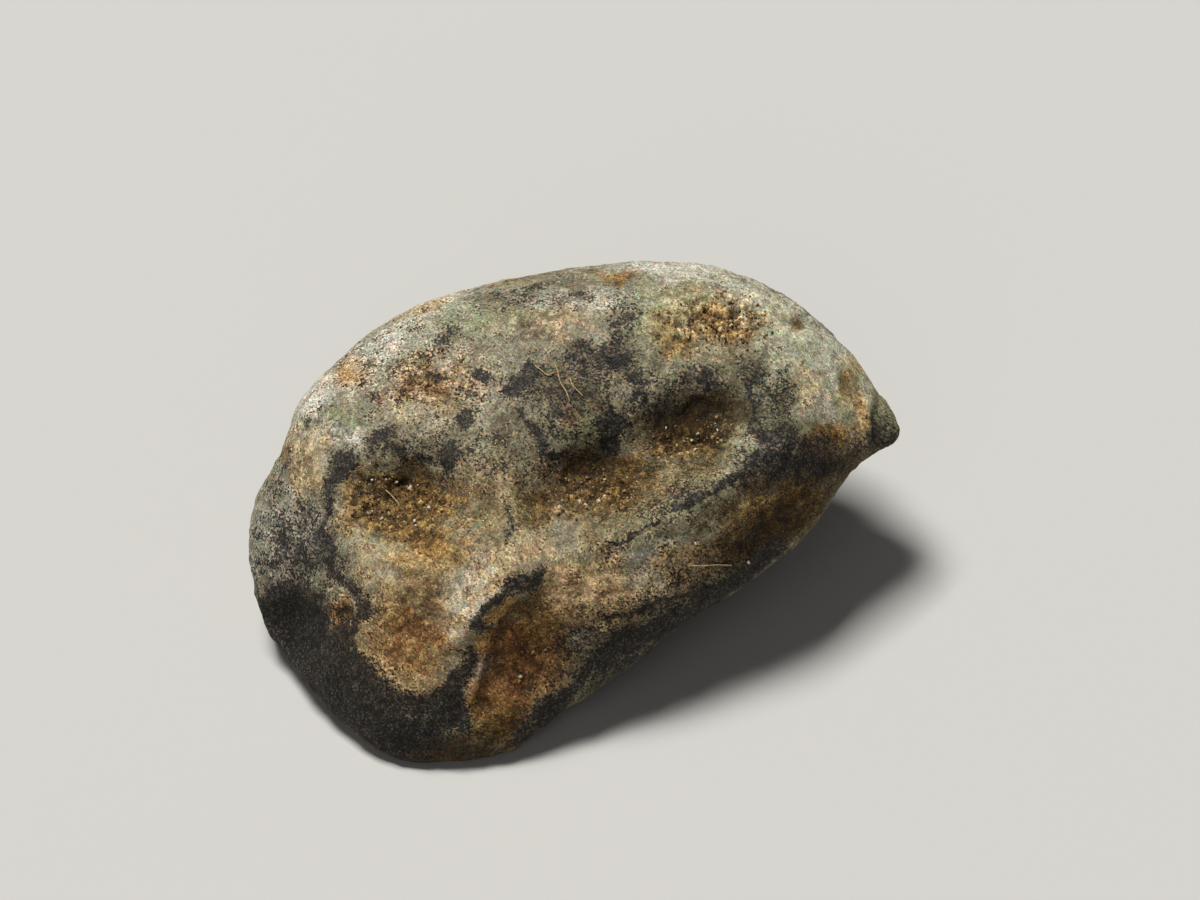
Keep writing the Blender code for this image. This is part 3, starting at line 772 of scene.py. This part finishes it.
# Weathered obsidian: hydrated glass whose skin has gone to a dull, sandy crust, stained by iron in its hollows
# and coated with thin dark desert varnish. It is rough and matt all over, and the varnish shines a little more.
# Its colours also hold painted shade, in the pits and where the skin turns from the light, and painted
# highlights on the top rim.
def weatheredObsidian():
    look = stoneLook
    material, tree, shader = newMaterial("weathered_obsidian")
    place = tree.nodes.new("ShaderNodeTexCoord").outputs["Object"]

    noises = []
    for n, (size, detail) in enumerate(look["noises"].values()):
        shift = [n * step for step in look["noiseShift"]]
        moved = addNode(tree, "Mapping", {"Vector": place, "Location": shift})
        pattern = {"Vector": moved, "Scale": 1 / (size * mm), "Detail": detail}
        noises.append(addNode(tree, "TexNoise", pattern | {"Roughness": look["noiseRoughness"]}))
    speck, clump, edge, stain, hue = noises
    grains = addNode(tree, "TexVoronoi", {"Vector": place, "Scale": 1 / (look["grain"] * mm)}).node
    grainRandom = addNode(tree, "SeparateColor", {"Color": grains.outputs["Color"]}).node.outputs
    crumbs = addNode(tree, "TexVoronoi", {"Vector": place, "Scale": 1 / (look["crumb"] * mm)}).node
    crumbRandom = addNode(tree, "SeparateColor", {"Color": crumbs.outputs["Color"]})
    pitShade = addNode(tree, "Attribute", attribute_name="pitShade").node.outputs["Fac"]
    crumbly = addNode(tree, "Attribute", attribute_name="crumbly").node.outputs["Fac"]

    # Clumps and single grains together choose the tone within each layer, and painted shade makes it darker
    # down in the pits. Each
    #  pattern is evened out by half its share, so that it moves the tone as far up as down.
    byGrain, byPitShade, byClump = look["toneGrains"], look["tonePitShade"], look["baseClumps"]
    clumpShare = look["layerClumps"]
    sway = {0: grainRandom["Green"], 1: byGrain, 2: -byGrain / 2}
    tone = addNode(tree, "Math", sway, operation="MULTIPLY_ADD")
    tone = addNode(tree, "Math", {0: clump, 1: tone}, operation="ADD")
    tone = addNode(tree, "Math", {0: pitShade, 1: -byPitShade, 2: tone}, operation="MULTIPLY_ADD")
    tone = addNode(tree, "Math", {0: tone, 1: byPitShade / 2}, operation="ADD")
    broad = addNode(tree, "Math", {0: clump, 1: byClump, 2: stain}, operation="MULTIPLY_ADD")
    broad = addNode(tree, "Math", {0: broad, 1: -byClump / 2}, operation="ADD")
    colour = addNode(tree, "ValToRGB", {"Fac": broad}, ramp=look["base"])
    masks = {}
    for name, (level, soft, ragged, dusty, cover, ramp) in look["layers"].items():
        field = addNode(tree, "Attribute", attribute_name=name).node.outputs["Fac"]
        for pattern, share in ((edge, ragged), (clump, clumpShare * ragged), (grainRandom["Red"], dusty)):
            field = addNode(tree, "Math", {0: pattern, 1: share, 2: field}, operation="MULTIPLY_ADD")
        middle = level + 0.5 * (1 + clumpShare) * ragged + 0.5 * dusty
        masks[name] = addNode(
            tree,
            "MapRange",
            {"Value": field, "From Min": middle - soft, "From Max": middle + soft, "To Max": cover},
            interpolation_type="SMOOTHSTEP",
        )
        by = grainRandom["Blue"] if name == "varnishAndShade" else tone
        tint = addNode(tree, "ValToRGB", {"Fac": by}, ramp=ramp)
        colour = addNode(tree, "Mix", {"Factor": masks[name], "A": colour, "B": tint}, data_type="RGBA")
        if name == "red":
            # the flecks lie under the umber and the varnish, with their painted shade
            for hexColour, (low, high) in look["flecks"].items():
                reach = {"Value": speck, "From Min": low, "From Max": high, "To Max": look["fleckCover"]}
                some = addNode(tree, "MapRange", reach)
                colour = addNode(tree, "Mix", {"Factor": some, "A": colour, "B": hexColour}, data_type="RGBA")

    # salt and pepper of single grains, coarser where the hollows are crumbly, and painted shade that darkens
    # the pits and lightens the rises
    shade = None
    for value, (start, end), (low, high) in (
        (grainRandom["Blue"], fullRange, look["grainTone"]),
        (speck, noiseRange, look["speckTone"]),
        (crumbRandom, fullRange, look["crumbTone"]),
        (pitShade, fullRange, look["pitShadeTone"]),
    ):
        ends = {"From Min": start, "From Max": end, "To Min": low, "To Max": high}
        part = addNode(tree, "MapRange", {"Value": value} | ends)
        if value is crumbRandom:
            part = addNode(tree, "Mix", {"Factor": crumbly, "A": 1.0, "B": part})
        shade = addNode(tree, "Math", {0: shade, 1: part}, operation="MULTIPLY") if shade else part
    grey = addNode(tree, "CombineColor", {0: shade, 1: shade, 2: shade})
    tints = [
        addNode(tree, "ValToRGB", {"Fac": grainRandom["Red"]}, ramp=look["grainTint"]),
        addNode(tree, "ValToRGB", {"Fac": hue}, ramp=look["hueTint"]),
    ]
    for tint in tints + [grey]:
        both = {"Factor": 1.0, "A": colour, "B": tint}
        colour = addNode(tree, "Mix", both, data_type="RGBA", blend_type="MULTIPLY")
    tree.links.new(colour, shader.inputs["Base Color"])

    bare, varnished = look["roughness"]
    rough = addNode(tree, "MapRange", {"Value": masks["varnishAndShade"], "To Min": bare, "To Max": varnished})
    rough = addNode(tree, "Math", {0: speck, 1: look["roughSpecks"], 2: rough}, operation="MULTIPLY_ADD")
    rough = addNode(tree, "Math", {0: rough, 1: look["roughSpecks"] / 2}, operation="SUBTRACT")
    tree.links.new(rough, shader.inputs["Roughness"])

    # each grain is a small dome, and the crumbs stand higher
    dome = {0: grains.outputs["Distance"], 1: -look["grainDome"], 2: clump}
    height = addNode(tree, "Math", dome, operation="MULTIPLY_ADD")
    dome = {0: crumbs.outputs["Distance"], 1: -look["crumbDome"]}
    crumbHeight = addNode(tree, "Math", dome, operation="MULTIPLY")
    height = addNode(tree, "Math", {0: crumbHeight, 1: crumbly, 2: height}, operation="MULTIPLY_ADD")
    bumps = {"Strength": look["bumpStrength"], "Distance": look["bump"] * mm, "Height": height}
    tree.links.new(addNode(tree, "Bump", bumps), shader.inputs["Normal"])
    shader.inputs["IOR"].default_value = look["ior"]
    shader.inputs["Specular IOR Level"].default_value = look["specular"]
    return material


gritSettings = {
    "count": 900,
    "smallest": 0.025,  # mm
    "largest": 0.075,
    "seed": 11,
    "bareGround": 0.3,  # ground less crumbly than this holds no grit
    "facing": 0.3 * lean,  # nor does skin that faces out less than this
    "ragged": 0.5,  # how far a grain's corners stray, as a share of its size
    "longer": 0.5,  # how much longer than wide a grain can be
    "flattest": 0.6,
    "plump": 1.3,  # makes up for what rounding takes off
    "lift": 0.3,  # of its size over the skin
    "palest": 0.07,  # the standing grains take this top part of the tints
    "tints": [(0.0, "47341c"), (0.45, "75582f"), (0.78, "8f7142"), (0.93, "a8966c"), (1.0, "cfc6ae")],
    "fleck": 0.05,  # mm
    "fleckTone": (0.75, 1.15),
    # the pale quartz grains that stand out: u, v and size
    "standing": [
        (0.2, 0.3, 0.12), (0.4, 0.2, 0.10), (1.1, 0.35, 0.12), (4.9, 3.0, 0.06), (5.2, 3.2, 0.07),
        (5.2, 6.8, 0.13), (6.2, 7.7, 0.11), (6.7, 8.0, 0.09), (7.3, 8.1, 0.11), (7.1, 7.4, 0.09),
        (9.7, 6.4, 0.08), (-7.8, -7.0, 0.10), (-7.0, 1.0, 0.08), (-6.2, 0.1, 0.09), (3.9, 3.5, 0.06),
        (4.4, 2.8, 0.06), (5.1, -1.4, 0.06), (7.35, -2.2, 0.06),
    ],
}


# Quartz and ironstone sand wedged in the hollows: cream, ochre and brown grains with broken, dull faces
def sandGrain():
    material, tree, shader = newMaterial("wedged_sand")
    place = tree.nodes.new("ShaderNodeTexCoord").outputs["Object"]
    tint = addNode(tree, "Attribute", attribute_name="tint").node.outputs["Fac"]
    colour = addNode(tree, "ValToRGB", {"Fac": tint}, ramp=gritSettings["tints"])
    scale = 1 / (gritSettings["fleck"] * mm)
    fleck = addNode(tree, "TexNoise", {"Vector": place, "Scale": scale, "Detail": 2.0})
    (start, end), (low, high) = noiseRange, gritSettings["fleckTone"]
    ends = {"From Min": start, "From Max": end, "To Min": low, "To Max": high}
    fleck = addNode(tree, "MapRange", {"Value": fleck} | ends)
    shade = addNode(tree, "CombineColor", {0: fleck, 1: fleck, 2: fleck})
    both = {"Factor": 1.0, "A": colour, "B": shade}
    colour = addNode(tree, "Mix", both, data_type="RGBA", blend_type="MULTIPLY")
    tree.links.new(colour, shader.inputs["Base Color"])
    shader.inputs["Roughness"].default_value = 0.6
    shader.inputs["IOR"].default_value = 1.54  # quartz
    return material


# The point of the skin nearest to a place on the face, among those allowed
def nearestSpot(u, v, atU, atV, allowed):
    return int(np.argmin(np.where(allowed, np.hypot(u - atU, v - atV), np.inf)))


def buildGrit(skin):
    look = gritSettings
    rng = random.Random(look["seed"])
    bpy.ops.object.select_all(action="DESELECT")
    bpy.ops.mesh.primitive_cube_add(size=2)
    grain = bpy.context.object
    finishWith(grain, "SUBSURF", "round", levels=1, render_levels=1)
    spots, normals = readSpots(skin), readNormals(skin)
    u, v = faceSpots(spots)[:2]
    allowed = facingOf(normals) > look["facing"]
    chance = np.cumsum(np.clip(patchField(u, v, crumblyGround) - look["bareGround"], 0, 1) * allowed)
    seats = []
    for atU, atV, size in look["standing"]:
        tint = 1 - look["palest"] + look["palest"] * rng.random()
        seats.append((nearestSpot(u, v, atU, atV, allowed), size, tint))
    for _ in range(look["count"]):
        size = look["smallest"] + (look["largest"] - look["smallest"]) * rng.random() ** 2
        seats.append((int(np.searchsorted(chance, rng.random() * chance[-1])), size, rng.random()))
    copies = []
    for n, (spot, size, tint) in enumerate(seats):
        copy = bpy.data.objects.new(f"grain{n}", grain.data.copy())
        bpy.context.scene.collection.objects.link(copy)
        for vert in copy.data.vertices:
            vert.co *= 1 + look["ragged"] * (rng.random() - 0.5)
        across = 1 + look["longer"] * rng.random()
        thick = look["flattest"] + (1 - look["flattest"]) * rng.random()
        stretch = Vector((across, 1, thick)) * size * mm * look["plump"]
        turn = Euler([rng.random() * math.tau for _ in range(3)])
        seat = Vector(spots[spot]) + Vector(normals[spot]) * size * mm * look["lift"]
        copy.data.transform(Matrix.LocRotScale(seat, turn, stretch))
        attribute = copy.data.attributes.new("tint", "FLOAT", "POINT")
        attribute.data.foreach_set("value", [tint] * len(copy.data.vertices))
        copies.append(copy)
    bpy.data.objects.remove(grain)
    grit = joinAs("grit", copies, copies[0])
    coverWith(grit, sandGrain())
    return grit


lintSettings = {
    "radius": 0.03,  # mm
    "weld": 0.0005,  # mm
    # each fibre is a run of u, v and height over the skin
    "fibres": {
        "thread": [
            (-0.95, 6.35, 0.02), (-0.80, 5.95, 0.10), (-0.60, 5.45, 0.12), (-0.38, 5.0, 0.10),
            (-0.2, 4.6, 0.03),
        ],
        "curl": [(-1.65, 6.15, 0.02), (-1.45, 5.95, 0.07), (-1.15, 5.82, 0.10), (-0.85, 5.85, 0.06)],
        "wisp": [(-0.25, 5.6, 0.02), (-0.05, 5.3, 0.05), (0.15, 5.05, 0.05), (0.35, 4.85, 0.02)],
        "flank": [(4.9, -2.36, 0.02), (5.5, -2.33, 0.05), (6.1, -2.34, 0.05), (6.65, -2.36, 0.02)],
        "leftHollow": [(-8.0, 0.9, 0.02), (-7.7, 0.6, 0.12), (-7.45, 0.25, 0.03)],
    },
    "tints": [(0.35, "7c6a45"), (0.65, "b09c72")],
    "fleck": 0.12,  # mm
}


# Lint: undyed cotton, a pale straw thread, matt and a little uneven in colour
def cottonLint():
    material, tree, shader = newMaterial("cotton_lint")
    place = tree.nodes.new("ShaderNodeTexCoord").outputs["Object"]
    scale = 1 / (lintSettings["fleck"] * mm)
    fleck = addNode(tree, "TexNoise", {"Vector": place, "Scale": scale, "Detail": 2.0})
    colour = addNode(tree, "ValToRGB", {"Fac": fleck}, ramp=lintSettings["tints"])
    tree.links.new(colour, shader.inputs["Base Color"])
    shader.inputs["Roughness"].default_value = 0.8
    shader.inputs["IOR"].default_value = 1.53  # cellulose
    return material


def buildLint(skin):
    fibres = []
    spots = readSpots(skin)
    u, v, w = faceSpots(spots)
    out = Vector((0, -lean, lean))
    for name, run in lintSettings["fibres"].items():
        curve = bpy.data.curves.new(name, "CURVE")
        curve.dimensions = "3D"
        curve.bevel_depth = lintSettings["radius"] * mm
        curve.bevel_resolution = 2
        curve.use_fill_caps = True
        curve.resolution_u = 6
        spline = curve.splines.new("BEZIER")
        spline.bezier_points.add(len(run) - 1)
        for point, (atU, atV, lift) in zip(spline.bezier_points, run):
            nearest = nearestSpot(u, v, atU, atV, w >= 0)
            point.co = Vector(spots[nearest]) + out * (lift + lintSettings["radius"]) * mm
            point.handle_left_type = point.handle_right_type = "AUTO"
        fibre = bpy.data.objects.new(name, curve)
        bpy.context.scene.collection.objects.link(fibre)
        pick(fibre)
        bpy.ops.object.convert(target="MESH")
        fibres.append(bpy.context.object)
    lint = joinAs("lint", fibres, fibres[-1])
    weld(lint, lintSettings["weld"])
    bpy.ops.object.shade_smooth()
    coverWith(lint, cottonLint())
    return lint


view = {
    "target": (1.205, 1.280, 7.724),  # mm
    "distance": 300,  # mm
    "elevation": 45,  # degrees
    "lens": 209.3,
    "sensor": 36,
    "nearest": 0.01,  # m
}
studio = {
    "floorSize": 4,  # m
    "floorColour": "b4b3b0",
    # where each light hangs and its side, in m, then its watts and colour; far off, for an evenly lit floor
    "lights": {
        "key": ((-0.72, 0.42, 3.0), 0.96, 137, "fffefa"),
        "fill": ((-0.6, -2.7, 2.1), 2.4, 16.2, "fafbff"),
    },
    "aim": (0, 0, 0.006),  # m
    # the room looks pale behind the floor but gives little light of its own
    "roomColour": "e9e8e4",
    "roomLight": 0.07,
    "roomSeen": 0.75,
}


# Matt card: pressed paper pulp, pale grey and dull, so it gives the eye a plain ground with no shine
def mattCard():
    material, _, shader = newMaterial("matt_card")
    shader.inputs["Base Color"].default_value = linear(studio["floorColour"])
    shader.inputs["Roughness"].default_value = 0.9
    return material


def buildStudio():
    angle = math.radians(view["elevation"])
    target = Vector(view["target"]) * mm
    back = Vector((0, -math.cos(angle), math.sin(angle)))
    bpy.ops.object.camera_add(location=target + back * view["distance"] * mm)
    camera = bpy.context.object
    camera.rotation_euler = (math.pi / 2 - angle, 0, 0)
    camera.data.lens = view["lens"]
    camera.data.sensor_width = view["sensor"]
    camera.data.clip_start = view["nearest"]
    bpy.context.scene.camera = camera

    bpy.ops.mesh.primitive_plane_add(size=studio["floorSize"])
    floor = bpy.context.object
    floor.name = "floor"
    coverWith(floor, mattCard())

    for name, (spot, size, power, colour) in studio["lights"].items():
        bpy.ops.object.light_add(type="AREA", location=spot)
        light = bpy.context.object
        light.name = name
        light.data.size = size
        light.data.energy = power
        light.data.color = linear(colour)[:3]
        light.rotation_euler = (Vector(studio["aim"]) - Vector(spot)).to_track_quat("-Z", "Y").to_euler()

    world = bpy.data.worlds.new("studio")
    world.use_nodes = True
    tree = world.node_tree
    sky = tree.nodes["Background"]
    sky.inputs["Color"].default_value = linear(studio["roomColour"])
    seen = addNode(tree, "LightPath").node.outputs["Is Camera Ray"]
    ends = {"To Min": studio["roomLight"], "To Max": studio["roomSeen"]}
    tree.links.new(addNode(tree, "MapRange", {"Value": seen} | ends), sky.inputs["Strength"])
    bpy.context.scene.world = world
    bpy.context.scene.view_settings.view_transform = "Standard"


skin = buildSkin()
print("skin shaped:", len(skin.data.polygons), "faces")
paintSkin(skin)
coverWith(skin, weatheredObsidian())
print("skin painted")
grit = buildGrit(skin)
print("grit wedged in:", len(grit.data.polygons), "faces")
lint = buildLint(skin)
print("lint laid on:", len(lint.data.polygons), "faces")

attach(skin, "root")
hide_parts("stone")
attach(grit, "root")
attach(lint, "root")

buildStudio()
print("camera, floor and lights placed")
